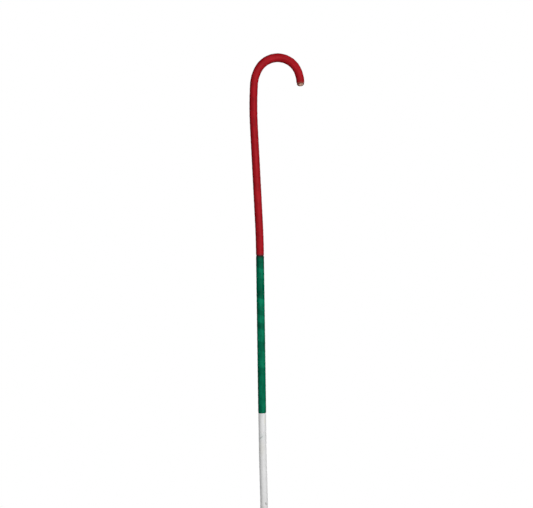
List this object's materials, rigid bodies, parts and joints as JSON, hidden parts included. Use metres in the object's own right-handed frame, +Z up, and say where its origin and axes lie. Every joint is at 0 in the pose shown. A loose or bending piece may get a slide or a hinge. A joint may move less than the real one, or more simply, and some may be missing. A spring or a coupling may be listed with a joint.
{
  "type": "white cane",
  "caption": "Slim crook-handled cane: a bentwood rod wrapped in red, green and white tape bands, on a push-on rubber ferrule.",
  "frame": {"origin": "middle of the underside of the ferrule, where it stands on the ground", "axes": "+Z up the straight lower shaft; the crook lies in the XZ plane and opens toward +X; the plane Y = 0 is the plane of symmetry"},
  "size_m": [0.1222, 0.034, 1.1586],
  "materials": {
    "rod_wood": "bare sanded wood, waxed by handling",
    "red_tape": "satin red cloth-backed tape",
    "green_tape": "satin dark green cloth-backed tape",
    "white_tape": "satin white cloth-backed tape, lightly soiled",
    "ferrule_rubber": "matt black moulded rubber",
    "washer_steel": "zinc-plated steel"
  },
  "bodies": {
    "cane": {"wooden_rod": "rod_wood", "red_tape": "red_tape", "green_tape": "green_tape", "white_tape": "white_tape"},
    "ferrule": {"rubber_ferrule": "ferrule_rubber", "ferrule_washer": "washer_steel"}
  },
  "joints": [
    {"name": "ferrule_pull", "type": "slide", "parent": "cane", "child": "ferrule", "axis": [0, 0, -1], "range_m": [0, 0.045]}
  ]
}
